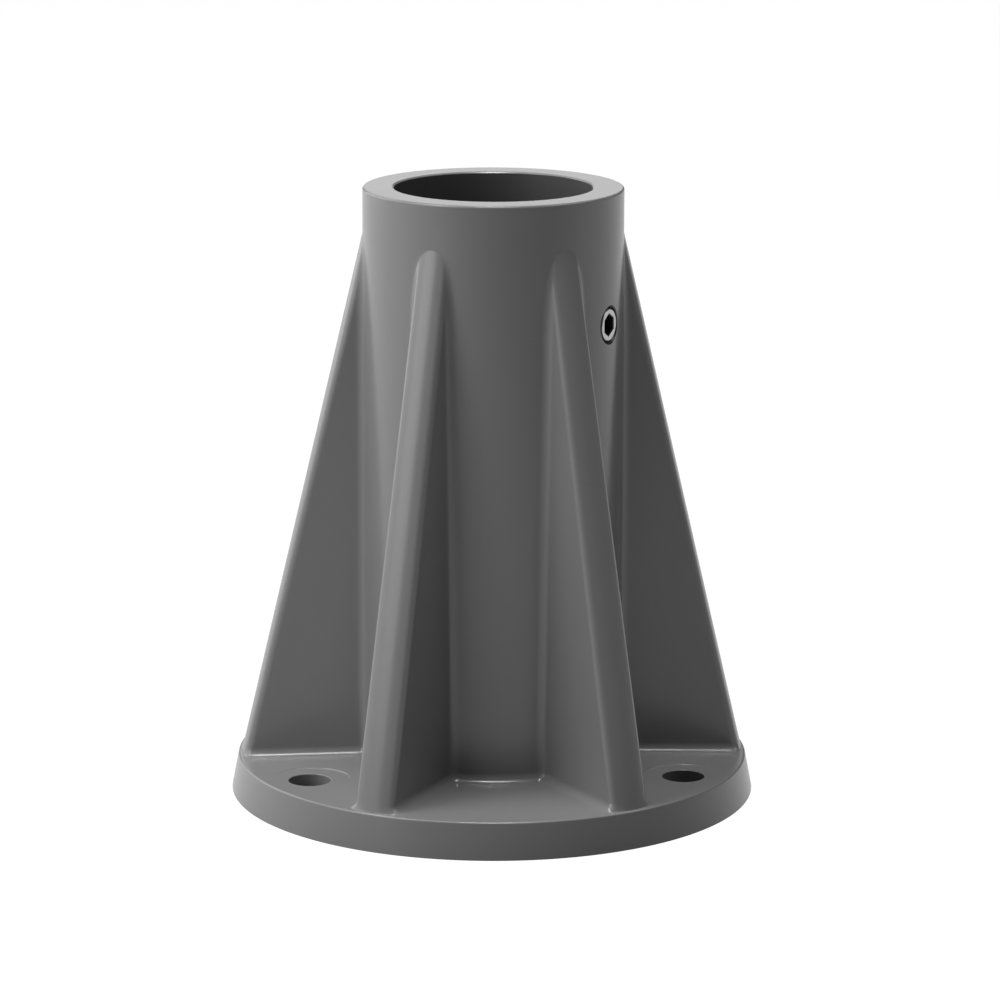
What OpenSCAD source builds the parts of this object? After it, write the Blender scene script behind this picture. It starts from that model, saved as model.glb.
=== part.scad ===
// Deck mount flange: a cast socket tube on a round foot, braced by tapered ribs.
// Millimetres, +Z up. The origin is on the tube's axis, at the deck.
// Angles run counterclockwise from +X, and the first rib lies along +X.

/* [Socket tube] */
// Bore that takes the pole
socket_d = 51; // [45:0.5:56]
// Outside diameter of the tube
tube_d = 67.2; // [64:0.1:76]
// Height from the deck to the rim
total_h = 159; // [120:1:220]
// Rounding of the rim's outer edge
rim_r = 1.8; // [0.5:0.1:3]
// Chamfer where the bore meets the rim
bore_chamfer = 0.4; // [0.2:0.1:1]

/* [Flange] */
// Diameter of the flange at the deck
flange_d = 137; // [132:1:180]
// Thickness of the flange at its outer edge
flange_edge_h = 9.4; // [7:0.1:14]
// Lean of the flange's side, in degrees
flange_taper = 11; // [2:1:15]
// Rise of the flange's top toward the tube, in degrees
flange_slope = 1; // [0.5:0.1:2]
// Rounding of the flange's top edge
flange_edge_r = 0.8; // [0.3:0.1:2]
// Blend between the flange's top and the walls that rise from it
foot_r = 2.2; // [1:0.1:3]

/* [Ribs] */
// Distance from the rim down to where the ribs run out
rib_drop = 11.7; // [5:0.1:40]
// Setback of the ribs' foot from the edge of the flange's top
rib_setback = 0.3; // [0.1:0.1:8]
// Thickness of a rib at the flange
rib_foot_t = 11; // [8:0.1:15]
// Thickness of a rib where it runs out
rib_top_t = 8.8; // [7:0.1:11]
// Rounding of a rib's outer corners
rib_nose_r = 3; // [1:0.1:3.3]
// Blend between a rib and the tube
rib_root_r = 2.8; // [1.5:0.1:4]

/* [Bolt holes] */
// Number of bolts, one in every second bay between the ribs
bolt_count = 3; // [2:1:4]
// Circle that the bolts stand on
bolt_circle_d = 111.2; // [104:0.2:114]
// Hole for each bolt
bolt_hole_d = 10.8; // [6:0.1:13]
// Flat seat for each bolt's washer
bolt_seat_d = 21; // [16:0.5:24]
// Height of the seats above the flange's outer edge
bolt_seat_rise = 0.06; // [0.02:0.01:0.2]

/* [Set screw] */
// Thread diameter of the set screw
screw_d = 10; // [8:1:12]
// Distance from the rim down to the screw's axis
screw_drop = 33.2; // [20:0.1:90]
// How far the screw's face lies inside the tube's skin
screw_recess = 0.3; // [0.1:0.1:2]
// Length of the set screw
screw_l = 7.2; // [6:0.1:7.5]
// Gap around the screw in its tapped hole
screw_fit = 0.1; // [0.05:0.05:0.3]
// Chamfer on both ends of the screw
screw_chamfer = 0.8; // [0.3:0.1:1]
// Hexagon socket, across its flats
hex_af = 5; // [3:0.5:5]
// Depth of the hexagon socket
hex_depth = 3.8; // [2:0.1:4]
// Width of the cup at the screw's tip
cup_d = 5; // [2:0.5:5]

/* [Hidden] */
$fn = 96;

tube_r = tube_d / 2;
socket_r = socket_d / 2;
flange_r = flange_d / 2;
rib_count = 2 * bolt_count;
bay_angle = 360 / rib_count;

// The flange's side leans in, and its rounding starts where the side and the top are
// both tangent to it
edge_z = flange_edge_h - flange_edge_r;
edge_x = flange_r - edge_z * tan(flange_taper) - flange_edge_r / cos(flange_taper);

// Ribs: where they run out, and where their outer line starts
rib_top_z = total_h - rib_drop;
rib_foot_x = edge_x - rib_setback;

// Root blends start a little under the tube's skin, and the ribs reach deeper still,
// so that every join is a clean crossing
blend_sink = 0.05;
rib_sink = 2;
foot_sink = 0.3;
least_blend = 0.3;

// Steps along each rounded stretch
arc_steps = 5;
rim_steps = 6;
run_out_steps = 6;

// Straight bolt and screw axes stand at these angles
bolt_angle = -bay_angle / 2;
screw_angle = bolt_angle;
screw_z = total_h - screw_drop;
screw_out_x = tube_r - screw_recess;

// Small overrun that carries each cut past the surface it opens
past = 1;

function lerp(a, b, t) = a + (b - a) * t;

// Points of an arc about a centre, from one angle to another
function arc(centre, r, from, to, steps) =
    [for (i = [0:steps])
        let (a = lerp(from, to, i / steps))
        centre + r * [cos(a), sin(a)]];

// Height of the flange's top at a distance from the axis
function flange_top(x) = flange_edge_h + (edge_x - x) * tan(flange_slope);

// Share of the way up a rib, from the flange's edge to where it runs out
function rib_share(z) = (z - flange_edge_h) / (rib_top_z - flange_edge_h);

// Distance of a rib's outer line from the axis
function rib_reach(z) = lerp(rib_foot_x, tube_r, rib_share(z));

// Height at which a rib's outer line has a given reach
function rib_height(reach) =
    lerp(flange_edge_h, rib_top_z, (rib_foot_x - reach) / (rib_foot_x - tube_r));

// Half of a rib's thickness
function rib_half(z) = lerp(rib_foot_t, rib_top_t, rib_share(z)) / 2;

// One side of a rib's level section, from inside the tube's wall to the nose.
// The root blend is tangent to the tube and to the flank, and the nose arc to the
// flank and to the outer line. Near the run-out there is no flank left, and the two
// arcs touch each other. The flare widens everything for the blend at the foot.
function rib_side(z, flare) =
    let (
        half = rib_half(z) + flare,
        skin = tube_r - blend_sink + flare,
        root = max(least_blend, rib_root_r - flare),
        nose = min(rib_nose_r, rib_half(z) - least_blend),
        nose_c = [rib_reach(z) - nose, half - nose],
        ring = skin + root,
        span = root + nose,
        apart = norm(nose_c),
        flank_x = sqrt(ring * ring - (half + root) * (half + root)),
        has_flank = flank_x <= nose_c.x,
        swing = acos(min(1, (ring * ring + apart * apart - span * span) / (2 * ring * apart))),
        root_y = has_flank ? half + root : ring * sin(atan2(nose_c.y, nose_c.x) + swing),
        root_c = [sqrt(ring * ring - root_y * root_y), root_y],
        at_tube = atan2(root_c.y, root_c.x),
        at_flank = has_flank ? -90 : atan2(nose_c.y - root_c.y, nose_c.x - root_c.x)
    )
    concat(
        [(skin - rib_sink) * [cos(at_tube), sin(at_tube)]],
        arc(root_c, root, at_tube - 180, at_flank, arc_steps),
        arc(nose_c, nose, at_flank + 180, 0, arc_steps));

// A whole level section, counterclockwise
function rib_section(z, flare) =
    let (side = rib_side(z, flare), last = len(side) - 1)
    concat(
        [for (p = side) [p.x, -p.y]],
        [for (i = [last:-1:0]) side[i]]);

// Sections that follow the flange's top at a height above it
function foot_ring(rise, flare) =
    [for (p = rib_section(flange_edge_h + rise, flare))
        [p.x, p.y, flange_top(norm(p)) + rise]];

// Sections at one level
function level_ring(z, level, flare) =
    [for (p = rib_section(z, flare)) [p.x, p.y, level]];

// Closed skin over rings that all have the same number of points. The first half of each
// ring mirrors the second, and so do the triangles.
module skin(rings) {
    count = len(rings[0]);
    top = len(rings) - 1;
    polyhedron(
        points = [for (ring = rings) each ring],
        faces = concat(
            [[for (j = [0:count - 1]) j]],
            [for (i = [0:top - 1], j = [0:count - 1])
                let (
                    a = i * count + j,
                    b = i * count + (j + 1) % count,
                    c = a + count,
                    d = b + count
                )
                each 2 * j < count - 1 ? [[a, c, d], [a, d, b]] : [[a, c, b], [c, d, b]]],
            [[for (j = [count - 1:-1:0]) top * count + j]]));
}

// One rib along +X, drafted from the flange up, with blends at its foot and its root
module rib() {
    // Foot blend, as angles up from the flange's top
    foot_angles = [75, 60, 40, 20, 0];
    foot_blend = [for (a = foot_angles) foot_r * [1 - sin(a), 1 - cos(a)]];
    // The blend's last chord, carried on under the flange's top
    run = (foot_blend[0] - foot_blend[1]) / (foot_blend[1].x - foot_blend[0].x);
    under_flare = foot_blend[0].y + run.y * (foot_sink + foot_blend[0].x);
    // Run-out: from the last full section to the point where the rib is inside the tube
    full_reach = tube_r + rib_nose_r + rib_root_r;
    end_reach = tube_r - blend_sink + 0.002;
    skin(concat(
        [level_ring(flange_edge_h - foot_sink, flange_edge_h / 2, under_flare)],
        [foot_ring(-foot_sink, under_flare)],
        [for (b = foot_blend) foot_ring(b.x, b.y)],
        [for (i = [0:run_out_steps])
            let (z = rib_height(lerp(full_reach, end_reach, sin(90 * i / run_out_steps))))
            level_ring(z, z, 0)]));
}

// Tube and flange, turned about the axis
module turned_body() {
    rotate_extrude()
        polygon(concat(
            [[0, 0], [flange_r, 0]],
            arc([edge_x, edge_z], flange_edge_r, flange_taper, 90, arc_steps),
            arc([tube_r + foot_r, flange_top(tube_r + foot_r) + foot_r], foot_r,
                270 - flange_slope, 180, rim_steps),
            arc([tube_r - rim_r, total_h - rim_r], rim_r, 0, 90, rim_steps),
            [[0, total_h]]));
}

module bore() {
    translate([0, 0, -past])
        cylinder(r = socket_r, h = total_h + 2 * past);
    translate([0, 0, total_h - bore_chamfer])
        cylinder(r1 = socket_r, r2 = socket_r + bore_chamfer + past,
                 h = bore_chamfer + past);
}

// Through hole and washer seat
module bolt_hole() {
    translate([bolt_circle_d / 2, 0, -past])
        cylinder(d = bolt_hole_d, h = flange_edge_h + foot_r + 2 * past);
    translate([bolt_circle_d / 2, 0, flange_edge_h + bolt_seat_rise])
        cylinder(d = bolt_seat_d, h = foot_r + past);
}

module screw_hole() {
    translate([0, 0, screw_z])
        rotate([0, 90, 0])
            cylinder(d = screw_d + 2 * screw_fit, h = tube_r + past);
}

module flange_casting() {
    color("#8b8d90")
        difference() {
            union() {
                turned_body();
                for (i = [0:rib_count - 1])
                    rotate([0, 0, i * bay_angle])
                        rib();
            }
            bore();
            for (i = [0:bolt_count - 1])
                rotate([0, 0, bolt_angle + i * 360 / bolt_count])
                    bolt_hole();
            rotate([0, 0, screw_angle])
                screw_hole();
        }
}

// Hexagon socket set screw with a cup point, its tip toward the bore
module set_screw() {
    screw_r = screw_d / 2;
    cup_r = cup_d / 2;
    color("#b9bbbe")
        rotate([0, 0, screw_angle])
            translate([screw_out_x - screw_l, 0, screw_z])
                rotate([0, 90, 0])
                    difference() {
                        rotate_extrude()
                            polygon([
                                [0, cup_r / 2],
                                [cup_r, 0],
                                [screw_r - screw_chamfer, 0],
                                [screw_r, screw_chamfer],
                                [screw_r, screw_l - screw_chamfer],
                                [screw_r - screw_chamfer, screw_l],
                                [0, screw_l]]);
                        translate([0, 0, screw_l - hex_depth])
                            cylinder(d = hex_af / cos(30), h = hex_depth + past, $fn = 6);
                    }
}

flange_casting();
set_screw();
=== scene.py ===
"""Looks of the deck mount flange: its casting, set screw, finishes, stage, light and camera."""
import logging
import math
from dataclasses import dataclass
from enum import Enum
from typing import Any, Union

import bpy
import numpy as np
from mathutils import Matrix, Vector


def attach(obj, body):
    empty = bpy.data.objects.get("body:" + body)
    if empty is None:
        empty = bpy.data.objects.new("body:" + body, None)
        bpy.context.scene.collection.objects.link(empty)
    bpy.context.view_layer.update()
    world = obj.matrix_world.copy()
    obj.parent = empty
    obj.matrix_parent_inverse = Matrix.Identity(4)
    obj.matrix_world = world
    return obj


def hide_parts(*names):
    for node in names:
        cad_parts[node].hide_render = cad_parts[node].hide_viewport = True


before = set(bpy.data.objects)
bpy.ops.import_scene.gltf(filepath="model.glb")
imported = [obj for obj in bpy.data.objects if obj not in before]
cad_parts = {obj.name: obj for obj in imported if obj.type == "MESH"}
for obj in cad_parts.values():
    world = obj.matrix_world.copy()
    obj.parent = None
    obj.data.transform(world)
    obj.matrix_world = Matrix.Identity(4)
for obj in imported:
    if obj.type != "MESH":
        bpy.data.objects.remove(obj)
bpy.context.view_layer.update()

log = logging.getLogger("deck_mount_flange")

MM = 0.001
BODY = "root"
WHITE = (1.0, 1.0, 1.0, 1.0)
UP = np.array([0.0, 0.0, 1.0])
# Points of an outline that lie closer than this are one point
SAME_PLACE = 1e-4 * MM
# How far a cutting tool reaches past the surface that it opens
PAST = 2.0 * MM


class Ends(Enum):
    """How a skin over rings ends."""

    JOINED = "the last ring meets the first"
    CAPPED = "a flat face closes each end"


class Slot(Enum):
    """Material slots of the record."""

    COAT = "powder_coat"
    STEEL = "screw_steel"


def arc(centre: tuple[float, float], radius: float, start: float, end: float, steps: int) -> np.ndarray:
    """Make points along an arc.

    Args:
        centre: The arc's centre.
        radius: The arc's radius.
        start: Angle of the first point, in radians.
        end: Angle of the last point, in radians.
        steps: Number of stretches.

    Returns:
        The points, one row each.
    """
    angles = np.linspace(start, end, steps + 1)
    return np.stack([centre[0] + radius * np.cos(angles), centre[1] + radius * np.sin(angles)], axis=1)


def turned(points: np.ndarray, angle: float) -> np.ndarray:
    """Turn points of a plane about its origin.

    Args:
        points: The points, one row each.
        angle: The angle, in radians.

    Returns:
        The turned points.
    """
    cos, sin = math.cos(angle), math.sin(angle)
    return points @ np.array([[cos, sin], [-sin, cos]])


def resampled(points: np.ndarray, count: int, bend_weight: float) -> np.ndarray:
    """Spread points along an outline, closer together where it bends.

    Args:
        points: Dense points along the outline.
        count: Number of stretches that are wanted.
        bend_weight: Length that one radian of bend counts for.

    Returns:
        count + 1 points on the outline, the first and last as they were.
    """
    apart = np.hypot(*np.diff(points, axis=0).T) > SAME_PLACE
    points = points[np.append(True, apart)]
    steps = np.diff(points, axis=0)
    lengths = np.hypot(*steps.T)
    headings = np.unwrap(np.arctan2(steps[:, 1], steps[:, 0]))
    bends = np.abs(np.diff(headings))
    weights = lengths + bend_weight * 0.5 * (np.append(bends, 0.0) + np.append(0.0, bends))
    walked = np.append(0.0, np.cumsum(weights))
    wanted = np.linspace(0.0, walked[-1], count + 1)
    return np.stack([np.interp(wanted, walked, points[:, k]) for k in (0, 1)], axis=1)


def skin(name: str, rings: list[np.ndarray], ends: Ends) -> bpy.types.Object:
    """Make an object with quads over rings that all have the same number of points.

    Args:
        name: The object's name.
        rings: The rings, each counterclockwise seen from the last one's side.
        ends: How the skin ends.

    Returns:
        The object, linked to the scene.
    """
    size = len(rings[0])
    k = np.arange(size)
    after = np.roll(k, -1)
    pairs = [(i, i + 1) for i in range(len(rings) - 1)]
    if ends is Ends.JOINED:
        pairs.append((len(rings) - 1, 0))
    quads = [np.stack([low * size + k, low * size + after, high * size + after, high * size + k], axis=1)
             for low, high in pairs]
    faces = np.concatenate(quads).tolist()
    if ends is Ends.CAPPED:
        faces.append(k[::-1].tolist())
        faces.append(((len(rings) - 1) * size + k).tolist())
    mesh = bpy.data.meshes.new(name)
    mesh.from_pydata(np.concatenate(rings).tolist(), [], faces)
    mesh.validate()
    thing = bpy.data.objects.new(name, mesh)
    bpy.context.scene.collection.objects.link(thing)
    return thing


def level(points: np.ndarray, z: Union[float, np.ndarray]) -> np.ndarray:
    """Lift points of a plane to a height.

    Args:
        points: The points, one row each.
        z: The height, or one height for each point.

    Returns:
        The points in space.
    """
    return np.column_stack([points, np.broadcast_to(z, len(points))])


def circle(angles: np.ndarray, radius: Union[float, np.ndarray], z: float) -> np.ndarray:
    """Make a level ring about the upright axis.

    Args:
        angles: The angle of each point, in radians.
        radius: The radius, or one radius for each point.
        z: The ring's height.

    Returns:
        The ring's points in space.
    """
    return level(np.stack([radius * np.cos(angles), radius * np.sin(angles)], axis=1), z)


def cut(thing: bpy.types.Object, tools: list[bpy.types.Object]) -> None:
    """Take the tools' solids out of a thing and delete the tools.

    Args:
        thing: The solid that is cut.
        tools: The solids that cut it, which stay clear of each other.
    """
    for tool in tools:
        step = thing.modifiers.new("cut", "BOOLEAN")
        step.operation = "DIFFERENCE"
        step.solver = "EXACT"
        step.object = tool
    settle(thing)
    for tool in tools:
        bpy.data.objects.remove(tool)


def settle(thing: bpy.types.Object) -> None:
    """Turn a thing's modifiers into its mesh.

    Args:
        thing: The thing whose modifiers are used up.
    """
    bpy.context.view_layer.update()
    seen = thing.evaluated_get(bpy.context.evaluated_depsgraph_get())
    mesh = bpy.data.meshes.new_from_object(seen)
    old, name = thing.data, thing.data.name
    thing.modifiers.clear()
    thing.data = mesh
    bpy.data.meshes.remove(old)
    mesh.name = name


def smooth(thing: bpy.types.Object, crease: float) -> None:
    """Shade a thing smoothly, with its large faces flat and its creases sharp.

    Args:
        thing: The thing to shade.
        crease: Least angle between the faces at a crease, in radians.
    """
    thing.data.shade_smooth()
    thing.data.set_sharp_from_angle(angle=crease)
    step = thing.modifiers.new("even_light", "WEIGHTED_NORMAL")
    step.mode = "FACE_AREA"
    step.keep_sharp = True
    settle(thing)


@dataclass(frozen=True)
class Thread:
    """Coarse metric thread, as the radius at each turn and height of its helix."""

    radius: float = 5.0 * MM
    pitch: float = 1.5 * MM
    depth: float = 0.86 * MM
    root_share: float = 0.25
    crest_share: float = 0.125
    rows_per_turn: int = 16
    columns: int = 96

    def angles(self) -> np.ndarray:
        """Return the angles of a ring's points."""
        return np.linspace(0.0, math.tau, self.columns, endpoint=False)

    def at(self, along: float, fit: float) -> np.ndarray:
        """Work out the thread's radius round a ring.

        Args:
            along: The ring's place along the axis.
            fit: Gap to leave, which widens a hole or, below zero, thins a screw.

        Returns:
            The radius at each of the ring's angles.
        """
        turn = (along / self.pitch - self.angles() / math.tau) % 1.0
        rise = np.abs(2.0 * turn - 1.0)
        share = np.clip((rise - self.root_share) / (1.0 - self.crest_share - self.root_share), 0.0, 1.0)
        return self.radius + fit - self.depth * (1.0 - share)


@dataclass
class SetScrew:
    """Hexagon socket set screw with a cup point, seated in the tube's wall."""

    name: str = "hexagon_set_screw"
    node: str = "set_screw"
    angle: float = math.radians(-30.0)
    height: float = 125.8 * MM
    outer_end: float = 33.3 * MM
    length: float = 7.2 * MM
    chamfer: float = 1.0 * MM
    cup_r: float = 2.5 * MM
    cup_depth: float = 1.25 * MM
    hex_af: float = 5.0 * MM
    hex_depth: float = 3.8 * MM
    hex_edge: float = 0.3 * MM
    drill_cone: float = 0.6 * MM
    play: float = 0.03 * MM
    edge: float = 0.08 * MM
    # Least radius, at the middle of the cup and of the drilled end
    centre_r: float = 0.05 * MM
    crease: float = math.radians(28.0)
    thread: Thread = Thread()

    def placed(self, along: float, radii: Union[float, np.ndarray]) -> np.ndarray:
        """Put a ring about the screw's axis.

        Args:
            along: Distance from the tube's axis.
            radii: The radius, or one for each of the thread's angles, from straight up.

        Returns:
            The ring's points in space.
        """
        angles = self.thread.angles()
        sideways = np.array([-math.sin(self.angle), math.cos(self.angle), 0.0])
        centre = along * self.outward() + self.height * UP
        # Sideways is to the right seen from outside, and the points run counterclockwise from the top
        across = np.outer(radii * np.sin(-angles), sideways)
        return centre + across + np.outer(radii * np.cos(angles), UP)

    def outward(self) -> np.ndarray:
        """Return the direction that the screw's face looks in."""
        return np.array([math.cos(self.angle), math.sin(self.angle), 0.0])

    def hexagon(self) -> np.ndarray:
        """Work out the hexagon socket's outline, with a corner on top.

        Returns:
            Its radius at each of the thread's angles.
        """
        side = math.pi / 3.0
        off_flat = (self.thread.angles() % side) - side / 2.0
        return self.hex_af / 2.0 / np.cos(off_flat)

    def build(self) -> bpy.types.Object:
        """Build the screw.

        Returns:
            The screw, its shading set and its modifiers used up.
        """
        thread = self.thread
        start = self.outer_end - self.length
        body_r = thread.radius - self.play
        face_r = body_r - self.chamfer
        profile = [(start + self.cup_depth, self.centre_r), (start, self.cup_r), (start, face_r)]
        rows = math.ceil(self.length / thread.pitch * thread.rows_per_turn)
        for row in range(1, rows):
            along = self.length * row / rows
            cone = face_r + min(along, self.length - along)
            profile.append((start + along, np.minimum(thread.at(start + along, -self.play), cone)))
        out = self.outer_end
        hexagon = self.hexagon()
        hex_end = out - self.hex_depth
        profile += [(out - self.edge, face_r),
                    (out, face_r - self.edge),
                    (out, hexagon + self.hex_edge),
                    (out - self.hex_edge, hexagon),
                    (hex_end, hexagon),
                    (hex_end, self.hex_af / 2.0 - self.edge),
                    (hex_end - self.drill_cone, self.centre_r)]
        screw = skin(self.name, [self.placed(along, radii) for along, radii in profile], Ends.CAPPED)
        smooth(screw, self.crease)
        return screw

    def hole_tool(self, inner: float, outer: float, fit: float) -> bpy.types.Object:
        """Make the solid that cuts the tapped hole.

        Args:
            inner: Where the tool starts, inside the bore.
            outer: The tube's skin, where the hole's mouth is.
            fit: Gap between the screw's thread and the hole's.

        Returns:
            The tool.
        """
        thread = self.thread
        mouth_r = thread.radius + fit
        reach = outer - inner
        rows = math.ceil(reach / thread.pitch * thread.rows_per_turn)
        rings = []
        for row in range(rows + 1):
            along = inner + reach * row / rows
            cone = mouth_r - (outer - along)
            rings.append(self.placed(along, np.maximum(thread.at(along, fit), cone)))
        rings.append(self.placed(outer + PAST, mouth_r))
        return skin("hole_tool", rings, Ends.CAPPED)


@dataclass
class FlangeCasting:
    """Socket tube, round flange and tapered ribs, cast in one piece."""

    name: str = "ribbed_flange_casting"
    node: str = "flange_casting"
    # Socket tube
    socket_r: float = 25.5 * MM
    tube_r: float = 33.6 * MM
    total_h: float = 159.0 * MM
    rim_r: float = 0.6 * MM
    bore_chamfer: float = 0.4 * MM
    chamfer_edge: float = 0.12 * MM
    # Flange, and the blend where the walls rise from it
    flange_r: float = 68.5 * MM
    flange_edge_h: float = 9.4 * MM
    flange_taper: float = math.radians(11.0)
    flange_slope: float = math.radians(1.0)
    flange_edge_r: float = 0.55 * MM
    heel_r: float = 0.1 * MM
    foot_r: float = 2.2 * MM
    # Ribs, whose outer face turns by the crown from its middle to each side
    rib_drop: float = 11.7 * MM
    rib_setback: float = 0.3 * MM
    rib_foot_t: float = 11.0 * MM
    rib_top_t: float = 8.8 * MM
    rib_nose_r: float = 2.0 * MM
    rib_crown: float = math.radians(20.0)
    rib_root_r: float = 2.8 * MM
    least_blend: float = 0.3 * MM
    rib_count: int = 6
    # Bolt holes and their washer seats, and the tapped hole
    bolt_circle_r: float = 55.6 * MM
    bolt_hole_r: float = 5.4 * MM
    bolt_edge: float = 0.25 * MM
    bolt_seat_r: float = 10.5 * MM
    bolt_seat_rise: float = 0.06 * MM
    seat_blend: float = 0.25 * MM
    seat_blend_end: float = math.radians(-30.0)
    seat_wall: float = 0.5 * MM
    bolt_count: int = 3
    first_bolt: float = math.radians(-30.0)
    hole_fit: float = 0.05 * MM
    hole_overrun: float = 1.0 * MM
    # Points round the mesh's rings, and the length that one radian of bend counts for there
    bend_weight: float = 8.0 * MM
    half_bay_steps: int = 54
    section_steps: int = 24
    bolt_columns: int = 120
    # Rings along each stretch; the spread brings the top's rings closer together at the walls
    edge_steps: int = 8
    small_edge_steps: int = 4
    under_rows: int = 5
    side_rows: int = 4
    top_steps: int = 15
    top_spread: float = 1.25
    foot_steps: int = 10
    wall_rows: int = 20
    run_out_steps: int = 20
    collar_rows: int = 5
    rim_rows: int = 4
    bore_rows: int = 12
    bore_row_start: float = 1.0 * MM
    # Least angle between faces that meet in a sharp edge
    crease: float = math.radians(25.0)

    def __post_init__(self) -> None:
        """Work out where the flange's rounded edge and the ribs' outer line start."""
        self.edge_z = self.flange_edge_h - self.flange_edge_r
        self.edge_x = (self.flange_r - self.edge_z * math.tan(self.flange_taper)
                       - self.flange_edge_r / math.cos(self.flange_taper))
        self.rib_top_z = self.total_h - self.rib_drop
        self.rib_foot_x = self.edge_x - self.rib_setback

    def flange_top(self, reach: np.ndarray) -> np.ndarray:
        """Return the height of the flange's top at a distance from the axis."""
        return self.flange_edge_h + (self.edge_x - reach) * math.tan(self.flange_slope)

    def rib_share(self, z: float) -> float:
        """Return the share of the way up a rib."""
        return (z - self.flange_edge_h) / (self.rib_top_z - self.flange_edge_h)

    def rib_reach(self, z: float) -> float:
        """Return the distance of a rib's outer line from the axis."""
        return self.rib_foot_x + (self.tube_r - self.rib_foot_x) * self.rib_share(z)

    def rib_height(self, reach: float) -> float:
        """Return the height at which a rib's outer line has a given reach."""
        share = (self.rib_foot_x - reach) / (self.rib_foot_x - self.tube_r)
        return self.flange_edge_h + (self.rib_top_z - self.flange_edge_h) * share

    def rib_half(self, z: float) -> float:
        """Return half of a rib's thickness."""
        return 0.5 * (self.rib_foot_t + (self.rib_top_t - self.rib_foot_t) * self.rib_share(z))

    def half_section(self, z: float, flare: float) -> np.ndarray:
        """Work out a level section from a rib's middle to the middle of the next bay.

        The rib's outer face is crowned. The nose arc is tangent to it and to the flank, and
        the root blend to the flank and to the tube. Near the run-out there is no flank left,
        and the root blend touches the nose arc, or at last the crown.

        Args:
            z: The height that sets the rib's sizes.
            flare: How much the blend at the foot widens everything.

        Returns:
            The section's points, spread for an even mesh.
        """
        half = self.rib_half(z) + flare
        tube = self.tube_r + flare
        root = max(self.least_blend, self.rib_root_r - flare)
        nose = min(self.rib_nose_r, self.rib_half(z) - self.least_blend)
        reach, ring = self.rib_reach(z), tube + root
        crown = nose + (half - nose) / math.sin(self.rib_crown)
        crown_c = (reach - crown, 0.0)
        nose_c = (reach - crown + (crown - nose) * math.cos(self.rib_crown), half - nose)
        flank_x = math.sqrt(ring * ring - (half + root) ** 2)
        if flank_x <= nose_c[0]:
            root_c, nose_end = (flank_x, half + root), math.pi / 2.0
        else:
            root_c, nose_end = self.root_between(ring, root, nose_c, nose)
        crown_end = self.rib_crown
        if nose_end < crown_end:
            root_c, crown_end = self.root_between(ring, root, crown_c, crown)
            nose_end = crown_end
        at_tube = math.atan2(root_c[1], root_c[0])
        steps = self.section_steps
        outline = np.concatenate([
            arc(crown_c, crown, 0.0, crown_end, steps),
            arc(nose_c, nose, crown_end, nose_end, steps) if nose_end > crown_end else np.empty((0, 2)),
            arc(root_c, root, nose_end - math.pi, at_tube - math.pi, steps),
            arc((0.0, 0.0), tube, at_tube, math.pi / self.rib_count, steps)])
        away = np.hypot(outline[:, 0], outline[:, 1])
        outline *= (np.maximum(away, tube) / away)[:, None]
        return resampled(outline, self.half_bay_steps, self.bend_weight)

    def root_between(self, ring: float, root: float, centre: tuple[float, float],
                     radius: float) -> tuple[tuple[float, float], float]:
        """Place a root blend that touches the tube and an arc of the rib.

        Args:
            ring: Distance of the blend's centre from the tube's axis.
            root: The blend's radius.
            centre: The rib arc's centre.
            radius: The rib arc's radius.

        Returns:
            The blend's centre, and the angle on the rib's arc where the two touch.
        """
        span, apart = root + radius, math.hypot(*centre)
        swing = math.acos(min(1.0, (ring * ring + apart * apart - span * span) / (2.0 * ring * apart)))
        angle = math.atan2(centre[1], centre[0]) + swing
        root_c = (ring * math.cos(angle), ring * math.sin(angle))
        return root_c, math.atan2(root_c[1] - centre[1], root_c[0] - centre[0])

    def all_round(self, half: np.ndarray) -> np.ndarray:
        """Mirror and repeat half a bay into a whole ring.

        Args:
            half: Points from a rib's middle to the middle of the next bay.

        Returns:
            The ring's points, counterclockwise.
        """
        bay = np.concatenate([half[:0:-1] * (1.0, -1.0), half[:-1]])
        step = math.tau / self.rib_count
        return np.concatenate([turned(bay, k * step) for k in range(self.rib_count)])

    def section(self, z: float, flare: float = 0.0) -> np.ndarray:
        """Return a whole level section as points of a plane."""
        return self.all_round(self.half_section(z, flare))

    def flange_rings(self, edge: np.ndarray) -> list[np.ndarray]:
        """Make the rings of the underside, the flange's side and its rounded edge.

        Args:
            edge: Angles of the points on the flange's edge.

        Returns:
            The rings, from the bore outward and up.
        """
        heel_x = (self.flange_r - self.heel_r * math.tan(self.flange_taper)
                  - self.heel_r / math.cos(self.flange_taper))
        under = [(x, 0.0) for x in np.linspace(self.socket_r, heel_x, self.under_rows)]
        heel = arc((heel_x, self.heel_r), self.heel_r, -math.pi / 2.0, self.flange_taper,
                   self.small_edge_steps)
        rim = arc((self.edge_x, self.edge_z), self.flange_edge_r, self.flange_taper, math.pi / 2.0,
                  self.edge_steps)
        side = np.linspace(heel[-1], rim[0], self.side_rows)
        return [circle(edge, x, z) for x, z in [*under[:-1], *heel, *side[1:-1], *rim]]

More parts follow.
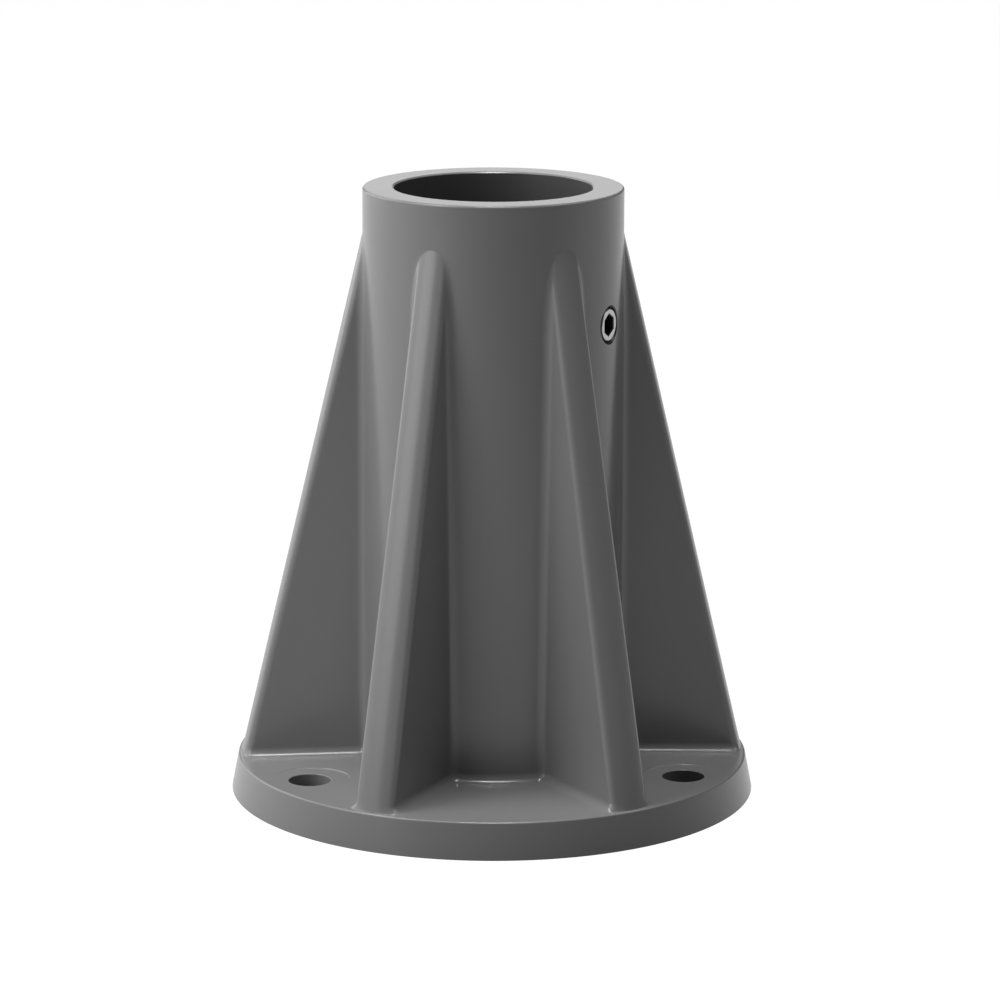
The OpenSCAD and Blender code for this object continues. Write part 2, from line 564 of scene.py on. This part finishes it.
    def foot_rings(self, edge: np.ndarray) -> list[np.ndarray]:
        """Make the rings of the flange's top and of the blend where the walls rise from it.

        Args:
            edge: Angles of the points on the flange's edge.

        Returns:
            The rings, from the flange's edge inward and up.
        """
        outer = circle(edge, self.edge_x, 0.0)[:, :2]
        inner = self.section(self.flange_edge_h, self.foot_r)
        rings = []
        for step in range(1, self.top_steps):
            share = 1.0 - (1.0 - step / self.top_steps) ** self.top_spread
            points = outer + (inner - outer) * share
            rings.append(level(points, self.flange_top(np.hypot(*points.T))))
        for step in range(self.foot_steps + 1):
            angle = math.pi / 2.0 * (1.0 - step / self.foot_steps)
            rise = self.foot_r * (1.0 - math.sin(angle))
            flare = self.foot_r * (1.0 - math.cos(angle))
            points = self.section(self.flange_edge_h + rise, flare)
            rings.append(level(points, self.flange_top(np.hypot(*points.T)) + rise))
        return rings

    def wall_rings(self) -> list[np.ndarray]:
        """Make the level rings of the tube and the ribs, up to where the ribs run out.

        Returns:
            The rings, from the foot up.
        """
        low = self.flange_edge_h + 2.0 * self.foot_r
        full_reach = self.tube_r + self.rib_nose_r + self.rib_root_r
        full_z = self.rib_height(full_reach)
        rings = [level(self.section(z), z) for z in np.linspace(low, full_z, self.wall_rows)]
        for step in range(1, self.run_out_steps + 1):
            share = math.sin(math.pi / 2.0 * step / self.run_out_steps)
            z = self.rib_height(full_reach + (self.tube_r - full_reach) * share)
            rings.append(level(self.section(z), z))
        return rings

    def rim_rings(self, angles: np.ndarray) -> list[np.ndarray]:
        """Make the rings of the tube's top, its rim and its bore.

        Args:
            angles: Angles of the points on the tube.

        Returns:
            The rings, up to the rim and down the bore.
        """
        start_z = self.rib_height(self.tube_r)
        rim_z = self.total_h - self.rim_r
        collar = [(self.tube_r, z) for z in np.linspace(start_z, rim_z, self.collar_rows)[1:-1]]
        rim = arc((self.tube_r - self.rim_r, rim_z), self.rim_r, 0.0, math.pi / 2.0, self.edge_steps)
        mouth_r, edge = self.socket_r + self.bore_chamfer, self.chamfer_edge
        flat = [(x, self.total_h) for x in np.linspace(rim[-1][0], mouth_r + edge, self.rim_rows)[1:]]
        chamfer = [(mouth_r - edge, self.total_h - edge),
                   (self.socket_r, self.total_h - self.bore_chamfer)]
        heights = np.linspace(self.total_h - self.bore_row_start, self.bore_row_start, self.bore_rows)
        wall = [(self.socket_r, z) for z in heights]
        return [circle(angles, x, z) for x, z in [*collar, *rim, *flat, *chamfer, *wall]]

    def bolt_tool(self, angle: float) -> bpy.types.Object:
        """Make the solid that cuts a bolt hole and the seat for its washer.

        Args:
            angle: Where the bolt stands, in radians.

        Returns:
            The tool.
        """
        seat_z = self.flange_edge_h + self.bolt_seat_rise
        edge, blend, steps = self.bolt_edge, self.seat_blend, self.small_edge_steps
        wall_r = self.bolt_seat_r + self.seat_wall
        profile = [(self.bolt_hole_r, -PAST),
                   *arc((self.bolt_hole_r + edge, seat_z - edge), edge, math.pi, math.pi / 2.0, steps),
                   *arc((self.bolt_seat_r - blend, seat_z + blend), blend, -math.pi / 2.0,
                        self.seat_blend_end, steps),
                   (wall_r, seat_z + 2.0 * self.seat_wall),
                   (wall_r, seat_z + PAST)]
        around = np.linspace(0.0, math.tau, self.bolt_columns, endpoint=False)
        centre = np.array([math.cos(angle), math.sin(angle), 0.0]) * self.bolt_circle_r
        return skin("bolt_tool", [circle(around, x, z) + centre for x, z in profile], Ends.CAPPED)

    def build(self, screw: SetScrew) -> bpy.types.Object:
        """Build the casting and cut its holes.

        Args:
            screw: The set screw, whose thread and place the tapped hole takes.

        Returns:
            The casting, its shading set and its modifiers used up.
        """
        edge = np.linspace(0.0, math.tau, 2 * self.rib_count * self.half_bay_steps, endpoint=False)
        edge -= math.pi / self.rib_count
        walls = self.wall_rings()
        tube = np.arctan2(walls[-1][:, 1], walls[-1][:, 0])
        rings = self.flange_rings(edge) + self.foot_rings(edge) + walls + self.rim_rings(tube)
        casting = skin(self.name, rings, Ends.JOINED)
        tools = [self.bolt_tool(self.first_bolt + k * math.tau / self.bolt_count)
                 for k in range(self.bolt_count)]
        tools.append(screw.hole_tool(self.socket_r - self.hole_overrun, self.tube_r, self.hole_fit))
        cut(casting, tools)
        smooth(casting, self.crease)
        return casting


class Value:
    """A socket in shader maths. Each operator adds its Math node."""

    def __init__(self, shader: "Shader", socket: Union[bpy.types.NodeSocket, None]) -> None:
        """Wrap a socket of a shader's tree."""
        self.shader = shader
        self.socket = socket

    def _math(self, operation: str, first: Any, second: Any) -> "Value":
        """Add a Math node.

        Args:
            operation: The node's operation.
            first: A value or a number.
            second: A value or a number.

        Returns:
            The node's result.
        """
        return self.shader.node("ShaderNodeMath", {"operation": operation}, {0: first, 1: second})

    def __add__(self, other: Any) -> "Value":
        """Add a value or a number."""
        return self._math("ADD", self, other)

    __radd__ = __add__

    def __sub__(self, other: Any) -> "Value":
        """Subtract a value or a number."""
        return self._math("SUBTRACT", self, other)

    def __rsub__(self, other: Any) -> "Value":
        """Subtract this value from a number."""
        return self._math("SUBTRACT", other, self)

    def __mul__(self, other: Any) -> "Value":
        """Multiply by a value or a number."""
        return self._math("MULTIPLY", self, other)

    __rmul__ = __mul__


class Shader:
    """A node material or world, built from nodes that one method adds."""

    def __init__(self, owner: Union[bpy.types.Material, bpy.types.World]) -> None:
        """Empty a node tree to build on.

        Args:
            owner: The material or world that the tree belongs to.
        """
        owner.use_nodes = True
        self.tree = owner.node_tree
        self.tree.nodes.clear()

    def node(self, kind: str, settings: dict[str, Any], sockets: dict[Union[int, str], Any],
             output: Union[int, str] = 0) -> Value:
        """Add a node.

        Args:
            kind: The node's type.
            settings: The node's own settings, which are set first.
            sockets: Values, numbers or colours for its input sockets.
            output: The output that is wanted.

        Returns:
            The wanted output, or a value without a socket from a node that has no output.
        """
        made = self.tree.nodes.new(kind)
        for key, setting in settings.items():
            setattr(made, key, setting)
        for key, value in sockets.items():
            if isinstance(value, Value):
                self.tree.links.new(value.socket, made.inputs[key])
            else:
                made.inputs[key].default_value = value
        return Value(self, made.outputs[output] if made.outputs else None)

    def vector(self, operation: str, *values: Any) -> Value:
        """Add a Vector Math node.

        Args:
            operation: The node's operation.
            values: Its vectors, as values or numbers.

        Returns:
            A number from a length or a dot product, and a vector from any other operation.
        """
        output = "Value" if operation in ("LENGTH", "DOT_PRODUCT") else "Vector"
        sockets = dict(enumerate(values))
        return self.node("ShaderNodeVectorMath", {"operation": operation}, sockets, output)

    def place(self) -> Value:
        """Return the place on the object, in metres."""
        return self.node("ShaderNodeTexCoord", {}, {}, "Object")

    def noise(self, size: float, detail: float, where: Value) -> Value:
        """Add noise.

        Args:
            size: Size of its largest spots, in metres.
            detail: Number of finer layers.
            where: The place on the object.

        Returns:
            The noise, from 0 to 1.
        """
        sockets = {"Vector": where, "Scale": 1.0 / size, "Detail": detail}
        return self.node("ShaderNodeTexNoise", {}, sockets)

    def grey(self, tone: Value) -> Value:
        """Turn a value into a grey colour."""
        return self.node("ShaderNodeCombineColor", {}, {0: tone, 1: tone, 2: tone})

    def larger(self, first: Value, second: Value) -> Value:
        """Return the larger of two values."""
        return self.node("ShaderNodeMath", {"operation": "MAXIMUM"}, {0: first, 1: second})

    def ramp(self, value: Value, start: float, end: float) -> Value:
        """Turn a value into 0 at the start, 1 at the end and a steady rise between."""
        return self.node("ShaderNodeMapRange", {}, {"Value": value, "From Min": start, "From Max": end})

    def blend(self, share: Value, first: tuple[float, ...], second: tuple[float, ...]) -> Value:
        """Mix two colours, from the first at 0 to the second at 1."""
        # The colours' sockets share their names with the numbers', so they go by their places
        return self.node("ShaderNodeMix", {"data_type": "RGBA"}, {0: share, 6: first, 7: second}, 2)

    def bump(self, height: Value, distance: float) -> Value:
        """Turn a height from 0 to 1 into a normal, with its full depth given in metres."""
        return self.node("ShaderNodeBump", {}, {"Strength": 1.0, "Distance": distance, "Height": height})

    def principled(self, sockets: dict[str, Any]) -> None:
        """Finish a material with a principled surface of the given values, numbers or colours."""
        self.finish("ShaderNodeOutputMaterial", self.node("ShaderNodeBsdfPrincipled", {}, sockets))

    def finish(self, kind: str, surface: Value) -> None:
        """Link the surface or the background to an output node of the given type."""
        self.node(kind, {}, {"Surface": surface})


@dataclass(frozen=True)
class PaintedHoleShade:
    """Painted shade: near black on the set screw's thread, in its socket and on the tapped hole's wall.
    """

    # The screw's direction and height, the radius of its hole and the place of its face
    outward: tuple[float, float, float]
    height: float
    hole_r: float
    face: float
    # Near-black tone and roughness of the painted shade
    tone: float = 0.006
    roughness: float = 0.5
    # Depths below the screw's face at which the painted shade starts and is full
    shade_start_depth: float = 0.05 * MM
    shade_full_depth: float = 0.16 * MM
    # Half widths of the changes from the hole's wall to the skin and across the tube's axis
    wall_fade: float = 0.03 * MM
    side_fade: float = 1.0 * MM

    def along(self, shader: Shader, where: Value) -> Value:
        """Return the distance from the tube's axis along the screw's."""
        return shader.vector("DOT_PRODUCT", where, self.outward)

    def off_screw(self, shader: Shader, where: Value) -> Value:
        """Return 1 on the screw's face, which has no painted shade, and 0 deeper down, where shade is
        painted.
        """
        along = self.along(shader, where)
        return shader.ramp(along, self.face - self.shade_full_depth, self.face - self.shade_start_depth)

    def off_casting(self, shader: Shader, where: Value) -> Value:
        """Work out where the casting has no painted shade.

        Args:
            shader: The casting's material.
            where: The place on the object.

        Returns:
            0 on the tapped hole's wall and 1 elsewhere.
        """
        from_hole = shader.vector("SUBTRACT", where, (0.0, 0.0, self.height))
        distance = shader.vector("LENGTH", shader.vector("CROSS_PRODUCT", from_hole, self.outward))
        off_wall = shader.ramp(distance, self.hole_r - self.wall_fade, self.hole_r + self.wall_fade)
        behind = shader.ramp(self.along(shader, where), self.side_fade, -self.side_fade)
        return shader.larger(off_wall, behind)


@dataclass(frozen=True)
class PowderCoat:
    """Smooth satin grey powder coat, with a faint orange peel, and painted shade in its bore and on its
    tapped hole's wall.
    """

    hole_shade: PaintedHoleShade
    bore_r: float
    slot: Slot = Slot.COAT
    tone: float = 0.2
    bore_shade_tone: float = 0.08
    # Distances from the bore's wall at which its tone, darkened as painted shade, starts to change and
    # has changed
    bore_start: float = 0.02 * MM
    bore_end: float = 0.2 * MM
    tone_spread: float = 0.005
    cloud_size: float = 14.0 * MM
    cloud_detail: float = 3.0
    roughness: float = 0.26
    roughness_spread: float = 0.02
    peel_size: float = 1.5 * MM
    peel_depth: float = 0.006 * MM
    grain_size: float = 0.35 * MM
    grain_depth: float = 0.0015 * MM
    relief_detail: float = 1.0

    def off_bore_shade(self, shader: Shader, where: Value) -> Value:
        """Work out where the casting is outside its bore, whose wall is darker as painted shade.

        Args:
            shader: The casting's material.
            where: The place on the object.

        Returns:
            0 on the bore's wall and 1 elsewhere.
        """
        across = shader.vector("MULTIPLY", where, (1.0, 1.0, 0.0))
        from_axis = shader.vector("LENGTH", across)
        return shader.ramp(from_axis, self.bore_r + self.bore_start, self.bore_r + self.bore_end)

    def material(self) -> bpy.types.Material:
        """Make the material.

        Returns:
            The material.
        """
        material = bpy.data.materials.new(self.slot.value)
        shader = Shader(material)
        where = shader.place()
        clouds = shader.noise(self.cloud_size, self.cloud_detail, where)
        peel = shader.noise(self.peel_size, self.relief_detail, where)
        grain = shader.noise(self.grain_size, self.relief_detail, where)
        off_hole_shade = self.hole_shade.off_casting(shader, where)
        tone = self.tone - self.tone_spread + clouds * (2.0 * self.tone_spread)
        # Painted shade: the bore's wall is darker
        tone = self.bore_shade_tone + self.off_bore_shade(shader, where) * (tone - self.bore_shade_tone)
        # Painted shade: the tapped hole's wall is near black
        tone = self.hole_shade.tone + off_hole_shade * (tone - self.hole_shade.tone)
        roughness = self.roughness - self.roughness_spread + clouds * (2.0 * self.roughness_spread)
        relief = peel + grain * (self.grain_depth / self.peel_depth)
        shader.principled({"Base Color": shader.grey(tone),
                           "Roughness": roughness,
                           "Normal": shader.bump(relief, self.peel_depth)})
        return material


@dataclass(frozen=True)
class ScrewSteel:
    """Bright turned stainless steel, with painted shade, near black, below its face in its thread and
    socket.
    """

    hole_shade: PaintedHoleShade
    slot: Slot = Slot.STEEL
    colour: tuple[float, float, float, float] = (0.4, 0.4, 0.41, 1.0)
    roughness: float = 0.24
    roughness_spread: float = 0.1
    scratch_size: float = 0.5 * MM
    scratch_detail: float = 2.0
    scratch_depth: float = 0.004 * MM

    def material(self) -> bpy.types.Material:
        """Make the material.

        Returns:
            The material.
        """
        material = bpy.data.materials.new(self.slot.value)
        shader = Shader(material)
        where = shader.place()
        marks = shader.noise(self.scratch_size, self.scratch_detail, where)
        # Painted shade: below its face the screw is near black and not metallic
        unshaded_steel = self.hole_shade.off_screw(shader, where)
        roughness = self.roughness - self.roughness_spread * 0.5 + marks * self.roughness_spread
        roughness = self.hole_shade.roughness + unshaded_steel * (roughness - self.hole_shade.roughness)
        hole_shade_colour = (self.hole_shade.tone, self.hole_shade.tone, self.hole_shade.tone, 1.0)
        shader.principled({"Base Color": shader.blend(unshaded_steel, hole_shade_colour, self.colour),
                           "Metallic": unshaded_steel,
                           "Roughness": roughness,
                           "Normal": shader.bump(marks, self.scratch_depth)})
        return material


@dataclass(frozen=True)
class Lamp:
    """A soft square lamp that points at the object.

    Its azimuth is 0 in front of the object and 90 degrees on its right.
    """

    name: str
    azimuth: float
    elevation: float
    power: float
    width: float = 0.4
    distance: float = 1.2
    target: tuple[float, float, float] = (0.0, 0.0, 0.08)

    def build(self) -> None:
        """Build the lamp."""
        light = bpy.data.lights.new(self.name, "AREA")
        light.shape = "SQUARE"
        light.size = self.width
        light.energy = self.power
        turn, rise = math.radians(self.azimuth), math.radians(self.elevation)
        away = Vector((math.sin(turn) * math.cos(rise), -math.cos(turn) * math.cos(rise), math.sin(rise)))
        lamp = bpy.data.objects.new(self.name, light)
        lamp.location = Vector(self.target) + away * self.distance
        lamp.rotation_euler = away.to_track_quat("Z", "Y").to_euler()
        bpy.context.scene.collection.objects.link(lamp)


@dataclass
class Studio:
    """White floor, surrounding light, lamps and the camera."""

    floor_size: float = 12.0
    # The floor's tone to the camera, and to the light that it returns to the object, which
    # rises from none to its full tone between two distances from the tube's axis
    floor_tone: float = 0.8
    floor_bounce: float = 0.43
    bounce_start: float = 0.07
    bounce_full: float = 0.14
    # The floor's white, as its share beside the toned floor and as its level
    floor_glow: float = 0.93
    glow_level: float = 1.065
    # White that the object mirrors: its share from all round, and the places in front of the
    # object, along Y, between which the floor's rises from none to all
    mirrored_world: float = 0.15
    mirror_start: float = -0.54
    mirror_full: float = -0.4
    # Under the object the floor has no white of its own
    object_reach: float = 67.0 * MM
    # The camera before its turn about the tube's axis, and its lens in pixels of the photograph
    camera_place: tuple[float, float, float] = (0.0, -1.080459, 0.323384)
    camera_azimuth: float = math.radians(-2.612)
    camera_pitch: float = math.radians(12.869)
    camera_yaw: float = math.radians(0.102)
    camera_roll: float = math.radians(0.165)
    focal_px: float = 4254.248
    frame_px: float = 1000.0
    sensor_mm: float = 36.0
    nearest: float = 0.05
    farthest: float = 50.0
    lamps: tuple[Lamp, ...] = (
        Lamp("top_lamp", 0.0, 87.5, 8.6, 0.3),
        Lamp("high_left_lamp", 276.0, 60.0, 5.8),
        Lamp("front_left_lamp", 300.0, 24.0, 5.6, 0.8),
        Lamp("left_lamp", 256.0, 22.0, 3.6, 1.0),
        Lamp("back_left_lamp", 230.0, 22.0, 4.2, 1.0),
        Lamp("back_lamp", 180.0, 12.0, 0.5),
        Lamp("right_lamp", 84.0, 48.0, 2.0, 0.6),
    )

    def background_share(self, shader: Shader, mirrored_share: Union[float, Value]) -> Value:
        """Work out how much of the white background a ray sees.

        Args:
            shader: The floor's material or the world.
            mirrored_share: How much a reflected ray sees.

        Returns:
            1 for a ray from the camera or through a surface, the given share for a reflected
            one, and 0 for light on the object.
        """
        seen, mirrored, through = (shader.node("ShaderNodeLightPath", {}, {}, name)
                                   for name in ("Is Camera Ray", "Is Glossy Ray", "Is Transmission Ray"))
        return shader.larger(shader.larger(seen, through), mirrored * mirrored_share)

    def floor_material(self) -> bpy.types.Material:
        """Make the floor's material, which shows white and keeps the object's shadow.

        Returns:
            The material.
        """
        material = bpy.data.materials.new("floor")
        shader = Shader(material)
        where = shader.place()
        seen = shader.node("ShaderNodeLightPath", {}, {}, "Is Camera Ray")
        from_axis = shader.vector("LENGTH", where)
        bounce = shader.ramp(from_axis, self.bounce_start, self.bounce_full) * self.floor_bounce
        tone = bounce + seen * (self.floor_tone - bounce)
        paper = shader.node("ShaderNodeBsdfDiffuse", {}, {"Color": shader.grey(tone)})
        glow = shader.node("ShaderNodeEmission", {}, {"Color": WHITE, "Strength": self.glow_level})
        outside = shader.ramp(from_axis, self.object_reach - MM, self.object_reach)
        toward_back = shader.node("ShaderNodeSeparateXYZ", {}, {0: where}, "Y")
        mirrored_share = shader.ramp(toward_back, self.mirror_start, self.mirror_full)
        share = self.background_share(shader, mirrored_share) * outside * self.floor_glow
        surface = shader.node("ShaderNodeMixShader", {}, {0: share, 1: paper, 2: glow})
        shader.finish("ShaderNodeOutputMaterial", surface)
        return material

    def build_floor(self) -> None:
        """Build the floor."""
        half = self.floor_size / 2.0
        corners = [(-half, -half, 0.0), (half, -half, 0.0), (half, half, 0.0), (-half, half, 0.0)]
        mesh = bpy.data.meshes.new("floor")
        mesh.from_pydata(corners, [], [(0, 1, 2, 3)])
        mesh.materials.append(self.floor_material())
        floor = bpy.data.objects.new("floor", mesh)
        bpy.context.scene.collection.objects.link(floor)

    def build_world(self) -> None:
        """Build the surrounding light, which shows white."""
        world = bpy.data.worlds.new("surround")
        bpy.context.scene.world = world
        shader = Shader(world)
        share = self.background_share(shader, self.mirrored_world)
        background = shader.node("ShaderNodeBackground", {}, {"Color": WHITE, "Strength": share})
        shader.finish("ShaderNodeOutputWorld", background)

    def build_camera(self) -> None:
        """Build the camera at the photograph's viewpoint."""
        lens = bpy.data.cameras.new("camera")
        lens.sensor_fit = "HORIZONTAL"
        lens.sensor_width = self.sensor_mm
        lens.lens = self.focal_px / self.frame_px * self.sensor_mm
        lens.clip_start = self.nearest
        lens.clip_end = self.farthest
        forward = Vector((math.sin(self.camera_yaw) * math.cos(self.camera_pitch),
                          math.cos(self.camera_yaw) * math.cos(self.camera_pitch),
                          -math.sin(self.camera_pitch)))
        level_right = forward.cross(Vector(UP)).normalized()
        level_up = level_right.cross(forward)
        right = level_right * math.cos(self.camera_roll) + level_up * math.sin(self.camera_roll)
        pose = Matrix((right, right.cross(forward), -forward)).transposed().to_4x4()
        pose.translation = Vector(self.camera_place)
        camera = bpy.data.objects.new("camera", lens)
        camera.matrix_world = Matrix.Rotation(self.camera_azimuth, 4, "Z") @ pose
        bpy.context.scene.collection.objects.link(camera)
        bpy.context.scene.camera = camera

    def build(self) -> None:
        """Build the whole stage."""
        bpy.context.scene.view_settings.view_transform = "Standard"
        self.build_floor()
        self.build_world()
        self.build_camera()
        for lamp in self.lamps:
            lamp.build()


def dress(piece: bpy.types.Object, finish: Union[PowderCoat, ScrewSteel], node: str) -> None:
    """Give a piece its finish and its place in the frame.

    Args:
        piece: The piece.
        finish: Its finish.
        node: The frame's node that it replaces.
    """
    piece.data.materials.clear()
    piece.data.materials.append(finish.material())
    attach(piece, BODY)
    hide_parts(node)
    log.info("%s: %d faces, replaces %s", piece.name, len(piece.data.polygons), node)


def main() -> None:
    """Build the object and its stage."""
    logging.basicConfig(level=logging.INFO, format="%(message)s")
    screw = SetScrew()
    casting = FlangeCasting()
    hole_r = screw.thread.radius + casting.hole_fit
    hole_shade = PaintedHoleShade(tuple(screw.outward()), screw.height, hole_r, screw.outer_end)
    dress(casting.build(screw), PowderCoat(hole_shade, casting.socket_r), casting.node)
    dress(screw.build(), ScrewSteel(hole_shade), screw.node)
    Studio().build()


if __name__ == "__main__":
    main()
